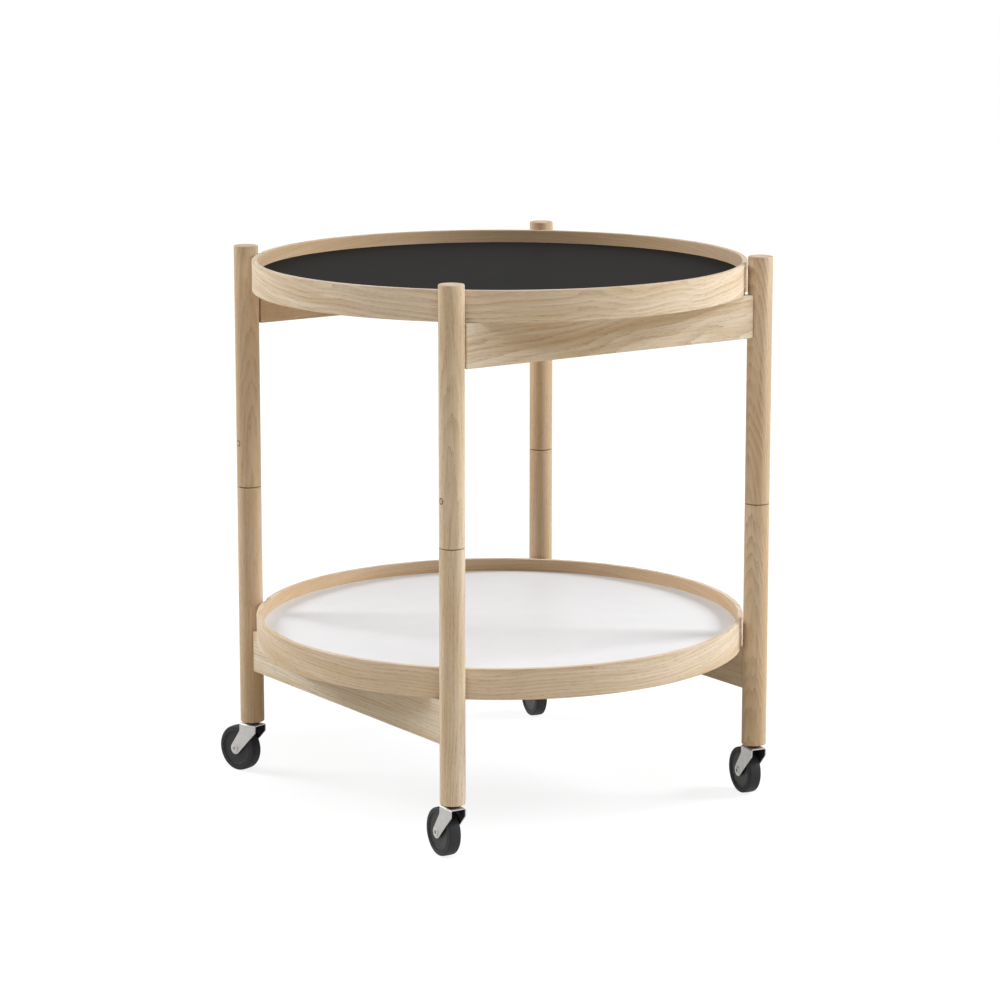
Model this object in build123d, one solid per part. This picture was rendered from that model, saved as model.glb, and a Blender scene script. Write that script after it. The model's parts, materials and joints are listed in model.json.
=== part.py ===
from build123d import *
import os
from math import asin, atan2, cos, degrees, hypot, sin, sqrt

# Serving trolley: a square frame of four turned legs on swivel casters, carrying two round lift-off trays.
# Origin on the floor at the middle of the frame, +Z up, +X along the upper rails.

# Trays
tray_diameter = 500.0
rim_height = 30.5
rim_wall = 6.0
rim_round = 1.0
core_thickness = 2.8
face_thickness = 0.6
core_inlet = 2.0          # how far the board's edge runs into the rim's groove
core_clearance = 0.05
face_clearance = 0.1
notch_depth = 2.4
notch_radius = 30.0       # radius of the shallow hollow in the rim that faces a leg

# Legs
leg_diameter = 25.0
leg_half_length = 250.5
leg_end_round = 1.2
leg_joint_chamfer = 0.4
joint_gap = 1.0           # height of the fine groove between the halves of a leg
tray_leg_clearance = 1.25

# Rails
rail_height = 43.0
rail_thickness = 12.0
rail_round = 1.0
rail_shoulder_gap = 0.7   # a rail's flat end stands this far off the nearest line of the leg
tenon_thickness = 7.0
tenon_shoulder = 6.0      # how far the tenon is set down from the rail's top and up from its bottom
tenon_depth = 12.0        # from the leg's surface line towards its axis
tenon_clearance = 0.05
upper_seat_below_leg_top = 38.0
lower_rail_above_leg_foot = 56.5

# Pivot pins between the leg halves
pin_diameter = 8.0
pin_in_upper = 60.0
pin_in_lower = 50.0
pin_clearance = 0.05
pin_chamfer = 0.6
bush_wall = 1.2
bush_length = 30.0
washer_diameter = 19.0
washer_seat_clearance = 0.05
lock_height = 46.0        # of the cross screw above the joint
lock_screw_diameter = 4.0
lock_head_diameter = 6.0
lock_head_height = 2.2
lock_past_pin = 3.0       # how far the screw's tip runs on beyond the pin
plug_diameter = 6.4
plug_depth = 4.0
wood_clearance = 0.05

# Casters
caster_height = 56.0      # floor to the leg's foot
wheel_diameter = 48.0
wheel_width = 13.5
tyre_depth = 6.0          # from the tread in to the wheel centre
tyre_round = 2.6
tyre_fit = 0.02
tyre_step = 0.6           # how far the wheel centre's rim is set in from the tyre's side
web_recess = 0.7          # how far the web is set in from the wheel centre's rim
web_outer_margin = 1.6    # width of the wheel centre's rim
hub_boss_diameter = 11.0
hub_side_clearance = 0.3
trail = 18.0              # from the swivel's axis back to the axle
fork_gap = 14.6
fork_sheet = 1.2
fork_top_below_foot = 3.0
fork_front = 11.3         # from the swivel's axis forward to the fork's front edge
fork_back = 11.2
fork_inner_bend = 0.8
fork_tip_radius = 6.2
fork_front_drop = 7.8     # height of the upright part of the front edge
fork_back_drop = 8.5
fork_front_round = 3.0
fork_back_round = 8.0
axle_diameter = 4.5
axle_clearance = 0.05
axle_head_diameter = 7.4
axle_head_height = 0.8
axle_head_round = 0.45
axle_eye_diameter = 3.6   # of the blind hole in the rivet's hollow end
axle_eye_depth = 1.2
stem_diameter = 7.9
stem_clearance = 0.05
stem_length = 33.0        # above the leg's foot
stem_head_diameter = 12.0
stem_head_height = 1.2
stem_chamfer = 1.0
collar_diameter = 13.5
collar_round = 0.6
collar_gap = 0.3          # running gap between the collar and the socket's flange
socket_wall = 1.2
socket_flange_diameter = 15.0
socket_flange_height = 0.8
socket_end_room = 1.5
overcut = 1.0             # how far a cutting solid runs on past what it cuts

# The way each caster points in the pose shown: the angle of the wheel about its leg, from +X
caster_yaw = {"front_left": 85.0, "front_right": 79.0, "back_left": 105.0, "back_right": 77.0}
caster_side = {"front_left": (-1, -1), "front_right": (1, -1), "back_left": (-1, 1), "back_right": (1, 1)}

# Heights and places that follow
tray_radius = tray_diameter / 2
leg_radius = leg_diameter / 2
leg_axis = (tray_radius + tray_leg_clearance + leg_radius) / sqrt(2)
leg_foot = caster_height
joint_height = leg_foot + leg_half_length + joint_gap / 2
leg_top = leg_foot + 2 * leg_half_length + joint_gap
upper_seat = leg_top - upper_seat_below_leg_top
lower_seat = leg_foot + lower_rail_above_leg_foot + rail_height
lock_level = joint_height + lock_height
board_thickness = core_thickness + 2 * face_thickness
wheel_radius = wheel_diameter / 2
fork_top = leg_foot - fork_top_below_foot
fork_width = fork_gap + 2 * fork_sheet
stem_bore_radius = stem_diameter / 2 + stem_clearance
socket_radius = stem_bore_radius + socket_wall


def upright(radius, low, high):
    """A solid cylinder about Z between two heights."""
    return Pos(0, 0, low) * Cylinder(radius, high - low, align=(Align.CENTER, Align.CENTER, Align.MIN))


def tube(outer, inner, low, high):
    return upright(outer, low, high) - upright(inner, low - overcut, high + overcut)


def turned(points):
    """The solid turned about Z from an outline of (radius, height) points."""
    return revolve(Plane.XZ * make_face(Polyline(*points, close=True)), Axis.Z)


def save(node, *solids):
    shape = solids[0] if len(solids) == 1 else Compound(children=list(solids))
    export_step(shape, os.path.join("parts", node + ".step"))


def at_leg(solid, corner):
    side_x, side_y = caster_side[corner]
    return Pos(side_x * leg_axis, side_y * leg_axis, 0) * solid


# Legs, built about their own axis. The rails come in from the middle of the frame: along X above, Y below.

def tenon_box(direction, middle, extra):
    """The tenon's block on a leg's axis, reaching from inside the leg past its surface."""
    inner = leg_radius - tenon_depth
    outer = leg_radius + rail_shoulder_gap + overcut
    size_z = rail_height - 2 * tenon_shoulder + 2 * extra
    long = outer - inner + extra
    block = Box(long, tenon_thickness + 2 * extra, size_z)
    place = Pos(inner - extra + long / 2, 0, middle)
    return Rot(0, 0, degrees(atan2(direction[1], direction[0]))) * place * block


def end_rounded(length, low_round, high_round):
    """A turned rod standing on z = 0 with a rounded arris at each end."""
    rod = upright(leg_radius, 0, length)
    rod = fillet(rod.edges().filter_by(GeomType.CIRCLE).sort_by(Axis.Z)[0], low_round)
    return fillet(rod.edges().filter_by(GeomType.CIRCLE).sort_by(Axis.Z)[-1], high_round)


def upper_leg(corner):
    side_x = caster_side[corner][0]
    low = joint_height + joint_gap / 2
    leg = Pos(0, 0, low) * end_rounded(leg_half_length, leg_joint_chamfer, leg_end_round)
    leg -= tenon_box((-side_x, 0), upper_seat - rail_height / 2, tenon_clearance)
    leg -= upright(pin_diameter / 2 + wood_clearance, low - overcut, joint_height + pin_in_upper)
    leg -= lock_hole(side_x)
    return leg


def lower_leg(corner):
    side_y = caster_side[corner][1]
    high = joint_height - joint_gap / 2
    leg = Pos(0, 0, leg_foot) * end_rounded(leg_half_length, leg_end_round, leg_joint_chamfer)
    leg -= tenon_box((0, -side_y), lower_seat - rail_height / 2, tenon_clearance)
    pin_hole = pin_diameter / 2 + pin_clearance
    leg -= upright(pin_hole, high - pin_in_lower, high + overcut)
    leg -= upright(pin_hole + bush_wall + wood_clearance, high - bush_length, high + overcut)
    socket_hole = socket_radius + wood_clearance
    leg -= upright(socket_hole, leg_foot - overcut, leg_foot + stem_length + socket_end_room)
    return leg


def crosswise(side_x, radius, start, end):
    """A cylinder along X at the lock screw's level, between two distances out from the leg's axis."""
    rod = Cylinder(radius, end - start, align=(Align.CENTER, Align.CENTER, Align.MIN))
    return Pos(0, 0, lock_level) * Rot(0, 90 * side_x, 0) * Pos(0, 0, start) * rod


lock_inner_end = -(pin_diameter / 2 + lock_past_pin)
lock_head_inner = leg_radius - plug_depth - lock_head_height


def lock_hole(side_x):
    plug_hole = plug_diameter / 2 + wood_clearance
    screw_hole = lock_screw_diameter / 2 + wood_clearance
    hole = crosswise(side_x, plug_hole, lock_head_inner, leg_radius + overcut)
    return hole + crosswise(side_x, screw_hole, lock_inner_end, lock_head_inner)


def pivot_pin(corner):
    side_x = caster_side[corner][0]
    low = joint_height - joint_gap / 2 - pin_in_lower
    pin = upright(pin_diameter / 2, low, joint_height + pin_in_upper)
    pin = chamfer(pin.edges().filter_by(GeomType.CIRCLE), pin_chamfer)
    return pin - crosswise(side_x, lock_screw_diameter / 2 + wood_clearance, -pin_diameter, pin_diameter)


def pivot_bush():
    high = joint_height - joint_gap / 2
    inner = pin_diameter / 2 + pin_clearance
    return tube(inner + bush_wall, inner, high - bush_length, high)


def joint_washer():
    low = joint_height - joint_gap / 2
    return tube(washer_diameter / 2, pin_diameter / 2 + washer_seat_clearance, low, low + joint_gap)


def lock_screw(corner):
    side_x = caster_side[corner][0]
    shank = crosswise(side_x, lock_screw_diameter / 2, lock_inner_end, lock_head_inner)
    return shank + crosswise(side_x, lock_head_diameter / 2, lock_head_inner, leg_radius - plug_depth)


def leg_plug(corner):
    """A short dowel whose outer end follows the round of the leg."""
    side_x = caster_side[corner][0]
    dowel = crosswise(side_x, plug_diameter / 2, leg_radius - plug_depth, leg_radius + overcut)
    return dowel & upright(leg_radius, lock_level - plug_diameter, lock_level + plug_diameter)


def caster_socket():
    top = leg_foot + stem_length + socket_end_room
    sleeve = tube(socket_radius, stem_bore_radius, leg_foot - socket_flange_height, top)
    flange = tube(socket_flange_diameter / 2, stem_bore_radius, leg_foot - socket_flange_height, leg_foot)
    return sleeve + flange


# Rails

def rail(seat):
    """A rail along X under a tray, with rounded long edges and a tenon at each end."""
    shoulder = leg_axis - leg_radius - rail_shoulder_gap
    body = Box(2 * shoulder, rail_thickness, rail_height)
    body = fillet(body.edges(), rail_round)
    tip = leg_axis - leg_radius + tenon_depth
    body += Box(2 * tip, tenon_thickness, rail_height - 2 * tenon_shoulder)
    return Pos(0, 0, seat - rail_height / 2) * body


# Trays, built with their underside at z = 0

def tray_rim():
    inner = tray_radius - rim_wall
    bar = Pos(inner + rim_wall / 2, rim_height / 2) * RectangleRounded(rim_wall, rim_height, rim_round)
    groove_high = core_thickness + 2 * core_clearance
    groove_deep = core_inlet + core_clearance + overcut
    bar -= Pos(inner - overcut + groove_deep / 2, rim_height / 2) * Rectangle(groove_deep, groove_high)
    rim = revolve(Plane.XZ * bar, Axis.Z)
    cutter_axis = tray_radius - notch_depth + notch_radius
    for corner_angle in (45, 135, 225, 315):
        cutter = Pos(cutter_axis, 0, 0) * upright(notch_radius, -overcut, rim_height + overcut)
        rim -= Rot(0, 0, corner_angle) * cutter
    return rim


def tray_core():
    low = (rim_height - core_thickness) / 2
    return upright(tray_radius - rim_wall + core_inlet, low, low + core_thickness)


def tray_face(low):
    return upright(tray_radius - rim_wall - face_clearance, low, low + face_thickness)


# Casters, built about the swivel's axis with the wheel behind it along +X, and heights from the floor

axle_place = Pos(trail, 0, wheel_radius)


def tangent_point(radius, anchor, side):
    """Where a line from the anchor touches the round about the axle, in (x, z)."""
    away_x = trail - anchor[0]
    away_z = wheel_radius - anchor[1]
    turn = asin(radius / hypot(away_x, away_z)) * side
    reach = sqrt(away_x ** 2 + away_z ** 2 - radius ** 2)
    heading = atan2(away_z, away_x) + turn
    return anchor[0] + reach * cos(heading), anchor[1] + reach * sin(heading)


def rounded_at(face, spot, radius):
    """The face with its corner at the spot rounded."""
    return fillet(face.vertices().sort_by_distance((spot[0], spot[1], 0))[0], radius)


def fork_side_outline():
    """The side plate: upright edges at the top, then straight edges down to the round tip at the axle."""
    front_knee = (-fork_front, fork_top - fork_front_drop)
    back_knee = (fork_back, fork_top - fork_back_drop)
    front_foot = tangent_point(fork_tip_radius, front_knee, -1)
    back_foot = tangent_point(fork_tip_radius, back_knee, 1)
    heading = atan2(wheel_radius - fork_top, trail)
    tip = (trail + fork_tip_radius * cos(heading), wheel_radius + fork_tip_radius * sin(heading))
    top = [(-fork_front, fork_top), (fork_back, fork_top)]
    outline = Polyline(front_foot, front_knee, *top, back_knee, back_foot)
    outline += ThreePointArc(back_foot, tip, front_foot)
    face = rounded_at(make_face(outline), back_knee, fork_back_round)
    return rounded_at(face, front_knee, fork_front_round)


def channel_section():
    """The fork seen from the front: a sheet folded down at both sides, in (y, z)."""
    outer = Pos(0, fork_top / 2) * Rectangle(fork_width, fork_top)
    outer = fillet(outer.vertices().sort_by(Axis.Y)[-2:], fork_inner_bend + fork_sheet)
    inner_low, inner_high = -overcut, fork_top - fork_sheet
    inner = Pos(0, (inner_low + inner_high) / 2) * Rectangle(fork_gap, inner_high - inner_low)
    inner = fillet(inner.vertices().sort_by(Axis.Y)[-2:], fork_inner_bend)
    return outer - inner


def caster_fork():
    reach = wheel_diameter * 2
    channel = extrude(Plane.YZ * channel_section(), reach, both=True)
    side = extrude(Plane.XZ * fork_side_outline(), fork_width, both=True)
    fork = channel & side
    fork -= upright(stem_diameter / 2 + stem_clearance, fork_top - fork_sheet - overcut, fork_top + overcut)
    hole = Rot(90, 0, 0) * Cylinder(axle_diameter / 2 + axle_clearance, fork_width + 2 * overcut)
    return fork - axle_place * hole


def caster_stem():
    low = fork_top - fork_sheet
    stem = upright(stem_diameter / 2, low - stem_head_height, leg_foot + stem_length)
    stem = chamfer(stem.edges().filter_by(GeomType.CIRCLE).sort_by(Axis.Z)[-1], stem_chamfer)
    return stem + upright(stem_head_diameter / 2, low - stem_head_height, low)


def caster_collar():
    high = leg_foot - socket_flange_height - collar_gap
    ring = tube(collar_diameter / 2, stem_diameter / 2 + stem_clearance, fork_top, high)
    rim_edge = ring.edges().filter_by(GeomType.CIRCLE).sort_by(SortBy.LENGTH)[-2:].sort_by(Axis.Z)[-1]
    return fillet(rim_edge, collar_round)


def axle_head():
    """A rivet head standing on z = 0, rounded on its outer face."""
    head = upright(axle_head_diameter / 2, 0, axle_head_height)
    return fillet(head.edges().filter_by(GeomType.CIRCLE).sort_by(Axis.Z)[-1], axle_head_round)


def caster_axle():
    """A rivet with a head on each side plate, and a blind eye in its hollow end."""
    half = fork_width / 2
    end = half + axle_head_height
    head = Pos(0, 0, half) * axle_head()
    rivet = upright(axle_diameter / 2, -half, half) + head + Rot(180, 0, 0) * head
    rivet -= upright(axle_eye_diameter / 2, end - axle_eye_depth, end + overcut)
    return axle_place * Rot(-90, 0, 0) * rivet


def wheel_centre():
    """Turned about the axle: a boss at the bore, a thin web, and a rim that carries the tyre."""
    bore = axle_diameter / 2 + axle_clearance
    boss = hub_boss_diameter / 2
    seat = wheel_radius - tyre_depth
    rim_half = wheel_width / 2 - tyre_step
    web_half = rim_half - web_recess
    boss_half = fork_gap / 2 - hub_side_clearance
    half = [(bore, boss_half), (boss, boss_half), (boss, web_half), (seat - web_outer_margin, web_half)]
    half += [(seat - web_outer_margin, rim_half), (seat, rim_half)]
    other = [(radius, -level) for radius, level in reversed(half)]
    return axle_place * Rot(90, 0, 0) * turned(half + other)


def wheel_tyre():
    seat = wheel_radius - tyre_depth + tyre_fit
    band = Pos((seat + wheel_radius) / 2, 0) * Rectangle(wheel_radius - seat, wheel_width)
    shoulders = band.vertices().sort_by(Axis.X)[-2:]
    band = fillet(shoulders, tyre_round)
    return axle_place * Rot(90, 0, 0) * revolve(Plane.XZ * band, Axis.Z)


os.makedirs("parts", exist_ok=True)
corners = list(caster_side)

for corner in corners:
    save("upper_leg_" + corner, at_leg(upper_leg(corner), corner))
    save("lower_leg_" + corner, at_leg(lower_leg(corner), corner))
save("leg_pivot_pins", *[at_leg(pivot_pin(corner), corner) for corner in corners])
save("leg_pivot_bushes", *[at_leg(pivot_bush(), corner) for corner in corners])
save("leg_joint_washers", *[at_leg(joint_washer(), corner) for corner in corners])
save("pin_lock_screws", *[at_leg(lock_screw(corner), corner) for corner in corners])
save("leg_plugs", *[at_leg(leg_plug(corner), corner) for corner in corners])
save("caster_sockets", *[at_leg(caster_socket(), corner) for corner in corners])

for name, side in (("front", -1), ("back", 1)):
    save("upper_rail_" + name, Pos(0, side * leg_axis, 0) * rail(upper_seat))
for name, side in (("left", -1), ("right", 1)):
    save("lower_rail_" + name, Pos(side * leg_axis, 0, 0) * Rot(0, 0, 90) * rail(lower_seat))

face_low = (rim_height - board_thickness) / 2
face_high = face_low + face_thickness + core_thickness
for name, seat, top_colour, under_colour in (
        ("upper", upper_seat, "black", "white"), ("lower", lower_seat, "white", "black")):
    save(name + "_tray_rim", Pos(0, 0, seat) * tray_rim())
    save(name + "_tray_core", Pos(0, 0, seat) * tray_core())
    save(name + "_tray_" + top_colour + "_top", Pos(0, 0, seat) * tray_face(face_high))
    save(name + "_tray_" + under_colour + "_underside", Pos(0, 0, seat) * tray_face(face_low))

for corner in corners:
    turn = Rot(0, 0, caster_yaw[corner])
    save("caster_fork_" + corner, at_leg(turn * caster_fork(), corner))
    save("caster_stem_" + corner, at_leg(turn * caster_stem(), corner))
    save("caster_collar_" + corner, at_leg(turn * caster_collar(), corner))
    save("caster_axle_" + corner, at_leg(turn * caster_axle(), corner))
    save("wheel_centre_" + corner, at_leg(turn * wheel_centre(), corner))
    save("wheel_tyre_" + corner, at_leg(turn * wheel_tyre(), corner))
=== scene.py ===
import json
import math

import bmesh
import bpy
import numpy as np
from mathutils import Matrix, Vector


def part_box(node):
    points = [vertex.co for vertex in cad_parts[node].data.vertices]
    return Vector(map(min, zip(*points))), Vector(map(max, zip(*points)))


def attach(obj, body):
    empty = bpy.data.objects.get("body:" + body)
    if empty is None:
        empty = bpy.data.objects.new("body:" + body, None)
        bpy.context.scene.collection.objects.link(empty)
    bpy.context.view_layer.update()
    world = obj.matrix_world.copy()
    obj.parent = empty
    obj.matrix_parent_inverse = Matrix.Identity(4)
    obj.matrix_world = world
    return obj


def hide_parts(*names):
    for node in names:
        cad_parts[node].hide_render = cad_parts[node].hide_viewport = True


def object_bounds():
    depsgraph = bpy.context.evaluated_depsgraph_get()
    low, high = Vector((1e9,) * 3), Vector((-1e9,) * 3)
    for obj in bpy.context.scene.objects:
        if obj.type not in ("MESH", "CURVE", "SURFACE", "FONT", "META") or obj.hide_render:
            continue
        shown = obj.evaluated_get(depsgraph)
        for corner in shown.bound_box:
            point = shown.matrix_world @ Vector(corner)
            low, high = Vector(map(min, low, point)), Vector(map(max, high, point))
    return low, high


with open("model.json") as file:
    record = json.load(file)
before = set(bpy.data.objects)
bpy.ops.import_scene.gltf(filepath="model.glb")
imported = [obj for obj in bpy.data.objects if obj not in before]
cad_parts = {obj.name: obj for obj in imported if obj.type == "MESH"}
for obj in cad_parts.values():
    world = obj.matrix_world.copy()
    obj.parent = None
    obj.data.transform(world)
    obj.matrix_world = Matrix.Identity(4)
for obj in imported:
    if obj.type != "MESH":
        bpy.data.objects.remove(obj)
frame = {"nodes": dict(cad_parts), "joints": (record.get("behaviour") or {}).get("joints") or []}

# Serving trolley: its finishes, and the pieces whose surfaces are finer than their solids. Lengths in metres.
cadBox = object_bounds()
corners = ["front_left", "front_right", "back_left", "back_right"]
joints = {joint["name"]: joint for joint in frame["joints"]}


def middleOf(node):
    low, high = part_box(node)
    return (low + high) / 2


def dress(node, material):
    for slot in frame["nodes"][node].material_slots:
        slot.material = material


# Shader maths

class Signal:
    # One output socket. The operators on it add Math nodes, and node() adds any other node.
    def __init__(self, tree, socket):
        self.tree = tree
        self.socket = socket

    def node(self, kind, settings=None, inputs=None, output=0):
        made = self.tree.nodes.new("ShaderNode" + kind)
        for name, value in (settings or {}).items():
            setattr(made, name, value)
        for name, value in (inputs or {}).items():
            if isinstance(value, Signal):
                self.tree.links.new(value.socket, made.inputs[name])
            else:
                made.inputs[name].default_value = value
        return Signal(self.tree, made.outputs[output]) if made.outputs else None

    def maths(self, operation, first, second=0.0):
        return self.node("Math", {"operation": operation}, {0: first, 1: second})

    def __add__(self, other):
        return self.maths("ADD", self, other)

    def __sub__(self, other):
        return self.maths("SUBTRACT", self, other)

    def __rsub__(self, other):
        return self.maths("SUBTRACT", other, self)

    def __mul__(self, other):
        return self.maths("MULTIPLY", self, other)

    def __truediv__(self, other):
        return self.maths("DIVIDE", self, other)

    __radd__ = __add__
    __rmul__ = __mul__

    def between(self, low, high):
        # 0 below low and 1 above high, with a smooth rise from one to the other.
        inputs = {"Value": self, "From Min": low, "From Max": high}
        return self.node("MapRange", {"interpolation_type": "SMOOTHSTEP"}, inputs)

    def mix(self, first, second):
        # The first colour where this signal is 0, and the second where it is 1.
        return self.node("Mix", {"data_type": "RGBA"}, {0: self, 6: first, 7: second}, 2)

    def parts(self):
        return [self.node("SeparateXYZ", None, {0: self}, axis) for axis in range(3)]

    def noise(self, pattern, settings=None, inputs=None):
        # Noise with the pattern's scale, detail and roughness. With levels, it is 0 below the first of them
        # and 1 above the second.
        made = self.node("TexNoise", settings, {
            "Vector": self, "Scale": pattern["scale"], "Detail": pattern["detail"],
            "Roughness": pattern["roughness"], **(inputs or {})})
        return made.between(*pattern["levels"]) if "levels" in pattern else made

    def bump(self, strength, distance):
        return self.node("Bump", None, {"Height": self, "Strength": strength, "Distance": distance})


def paint(red, green, blue):
    # A colour as a screen shows it, 0 to 255, as the linear light that a shader takes.
    return tuple(((value / 255 + 0.055) / 1.055) ** 2.4 for value in (red, green, blue)) + (1.0,)


def startMaterial(name):
    # A material with an empty tree, and the signal of its object coordinates.
    material = bpy.data.materials.new(name)
    material.use_nodes = True
    material.node_tree.nodes.clear()
    coordinates = material.node_tree.nodes.new("ShaderNodeTexCoord")
    return material, Signal(material.node_tree, coordinates.outputs["Object"])


def endMaterial(place, inputs):
    place.node("OutputMaterial", None, {"Surface": place.node("BsdfPrincipled", None, inputs)})


# Oak

class Grain:
    # Where a point lies in its wood: across the grain, deep in it, and along it. A straight piece has one
    # length along the grain. A bent one has two, so that its pattern closes on itself.
    def __init__(self, place, across, deep, along):
        self.place = place
        self.across = across
        self.deep = deep
        self.along = along

    def leaning(self, lean, drift):
        # The same wood with its fibres at a slight slant to the piece, and drifting from a straight line.
        return Grain(self.place, self.across + lean * self.along[0] + drift, self.deep, self.along)

    def streaks(self, pattern, shift):
        # Noise whose spots have the pattern's length and width. The shift sets each piece apart.
        pattern = {**pattern, "scale": 1.0}
        across = self.across / pattern["width"] + (shift + pattern["offset"])
        deep = self.deep / pattern["width"] + (shift + pattern["offset"])
        ends = [part / pattern["length"] for part in self.along]
        if len(ends) == 1:
            return self.place.node("CombineXYZ", None, {0: across, 1: deep, 2: ends[0]}).noise(pattern)
        vector = self.place.node("CombineXYZ", None, {0: across, 1: ends[0], 2: ends[1]})
        return vector.noise(pattern, {"noise_dimensions": "4D"}, {"W": deep})


def straightGrain(place, centre, turn):
    settings = {"vector_type": "TEXTURE"}
    local = place.node("Mapping", settings, {"Vector": place, "Location": centre, "Rotation": turn})
    across, deep, along = local.parts()
    return Grain(place, across, deep, [along])


def bentGrain(place, radius, middle, turn):
    # The grain runs round the ring: a point's direction from its axis, times the radius, is its length along.
    settings = {"vector_type": "TEXTURE"}
    local = place.node("Mapping", settings, {"Vector": place, "Location": middle, "Rotation": turn})
    x, y, z = local.parts()
    reach = place.maths("SQRT", x * x + y * y)
    return Grain(place, z, reach - radius, [x / reach * radius, y / reach * radius])


# Noise that follows the grain, with lengths and widths in metres. The first three bend the figure. The others
# show in it as fading rings, marks and broad patches.
oakPatterns = {
    "drift": {"length": 0.22, "width": 0.40, "detail": 1.0, "roughness": 0.5, "offset": 2.6},
    "wander": {"length": 0.11, "width": 0.60, "detail": 1.0, "roughness": 0.5, "offset": 0.0},
    "ripple": {"length": 0.16, "width": 0.011, "detail": 2.0, "roughness": 0.6, "offset": 3.1},
    "fade": {
        "length": 0.09, "width": 0.006, "levels": (0.36, 0.66),
        "detail": 2.0, "roughness": 0.6, "offset": 6.4},
    "streak": {
        "length": 0.070, "width": 0.0014, "levels": (0.42, 0.74),
        "detail": 3.0, "roughness": 0.6, "offset": 1.7},
    "fibre": {
        "length": 0.030, "width": 0.0005, "levels": (0.35, 0.70),
        "detail": 2.0, "roughness": 0.6, "offset": 8.3},
    "dash": {
        "length": 0.015, "width": 0.0007, "levels": (0.62, 0.76),
        "detail": 1.0, "roughness": 0.5, "offset": 4.9},
    "pore": {
        "length": 0.0060, "width": 0.00028, "levels": (0.52, 0.66),
        "detail": 1.0, "roughness": 0.5, "offset": 9.2},
    "patch": {
        "length": 0.25, "width": 0.012, "levels": (0.30, 0.72),
        "detail": 2.0, "roughness": 0.5, "offset": 5.5},
}
oak = {
    "pale": (231, 218, 199),  # a piece's tone, partly painted shade and light, moves pale and warm towards deep
    "warm": (212, 190, 158),
    "deep": (178, 142, 104),
    "ring": paint(188, 157, 122),
    "dash": paint(158, 124, 90),
    "pore": paint(128, 98, 70),
    # A rim's inner face is painted this deeper brown as shade.
    "inner": paint(198, 157, 110),
    "seam": paint(92, 64, 42),
    "ringWidth": 0.0030,
    "ringStart": 0.80,       # the share of a ring over which its dark start fades
    "ringLeast": 0.15,       # what is left of a ring where the figure fades most
    "driftReach": 0.020,     # how far the fibres drift from a straight line
    "ripple": 0.0070,        # how far the rings swell and crowd
    "ringShare": 0.50,       # how much a growth ring's start darkens the wood
    "streakShare": 0.30,
    "fibreShare": 0.20,
    "dashShare": 0.34,
    "poreShare": 0.45,
    "innerShadeShare": 0.50,
    "innerShadeLevels": (0.75, 0.97),  # shares of a rim's wall between which its painted inner shade comes in
    "seamShare": 0.90,
    "dashDepth": 0.25,       # against a pore, which is 1 deep
    "streakDepth": 0.15,
    "bump": (0.35, 0.00012),
    "roughness": 0.52,
    "poreRoughness": 0.12,
    "streakRoughness": 0.05,  # how much smoother a streak is
    "sheen": 0.12,
    "dust": 0.06,            # the pale bloom of unvarnished wood seen edge-on
}


def oakMaterial(name, makeGrain, plan):
    # Rings are circles about the pith line. The slope makes them run out along the piece, and wander bends
    # them. Pores lie where each ring starts. The noise swings about 0.5.
    material, place = startMaterial(name)
    straight = makeGrain(place)
    drift = straight.streaks(oakPatterns["drift"], plan["shift"]) - 0.5
    grain = straight.leaning(plan["lean"], drift * oak["driftReach"])
    wander, ripple, fade, streak, fibre, dash, pore, patch = [
        grain.streaks(oakPatterns[pattern], plan["shift"])
        for pattern in ("wander", "ripple", "fade", "streak", "fibre", "dash", "pore", "patch")]
    across = grain.across - plan["pith"][0]
    deep = grain.deep - plan["pith"][1] + plan["slope"] * grain.along[0] + (wander - 0.5) * plan["wander"]
    ringReach = place.maths("SQRT", across * across + deep * deep)
    rings = (ringReach + (ripple - 0.5) * oak["ripple"]) / oak["ringWidth"]
    early = 1.0 - place.maths("FRACT", rings).between(0.0, oak["ringStart"])
    ring = early * (oak["ringLeast"] + (1 - oak["ringLeast"]) * fade)
    pore = pore * early
    # A piece's tone is partly the wood's own and partly painted light: deeper for pieces that stand in shade,
    # paler where lamps miss.
    pale, warm = [
        paint(*[main + (dark - main) * plan["toneAndPaintedLight"] for main, dark in zip(oak[shade], oak["deep"])])
        for shade in ("pale", "warm")]
    colour = patch.mix(pale, warm)
    colour = (ring * (oak["ringShare"] * plan["figure"])).mix(colour, oak["ring"])
    colour = (streak * oak["streakShare"]).mix(colour, oak["ring"])
    colour = (fibre * oak["fibreShare"]).mix(colour, oak["ring"])
    colour = (dash * oak["dashShare"]).mix(colour, oak["dash"])
    colour = (pore * oak["poreShare"]).mix(colour, oak["pore"])
    if "wall" in plan:
        # Painted shade: the inner side of a bent strip is painted a deeper, warmer brown than its outer side.
        inner = (0.0 - straight.deep).between(*[share * plan["wall"] for share in oak["innerShadeLevels"]])
        colour = (inner * oak["innerShadeShare"]).mix(colour, oak["inner"])
    if "seam" in plan:
        # The plugs lie along X, at one height and at plus and minus one y. A glue line darkens their edge.
        x, y, z = place.parts()
        y = place.maths("ABSOLUTE", y) - plan["seam"]["y"]
        z = z - plan["seam"]["z"]
        edge = place.maths("SQRT", y * y + z * z).between(plan["seam"]["from"], plan["seam"]["to"])
        colour = (edge * oak["seamShare"]).mix(colour, oak["seam"])
    height = 1.0 - pore - oak["dashDepth"] * dash - oak["streakDepth"] * streak
    endMaterial(place, {
        "Base Color": colour,
        "Roughness": oak["roughness"] + oak["poreRoughness"] * pore - oak["streakRoughness"] * streak,
        "Specular IOR Level": oak["sheen"],
        "Sheen Weight": oak["dust"],
        "Normal": height.bump(*oak["bump"]),
    })
    return material


# Laminates, nylon, rubber and metals

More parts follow.
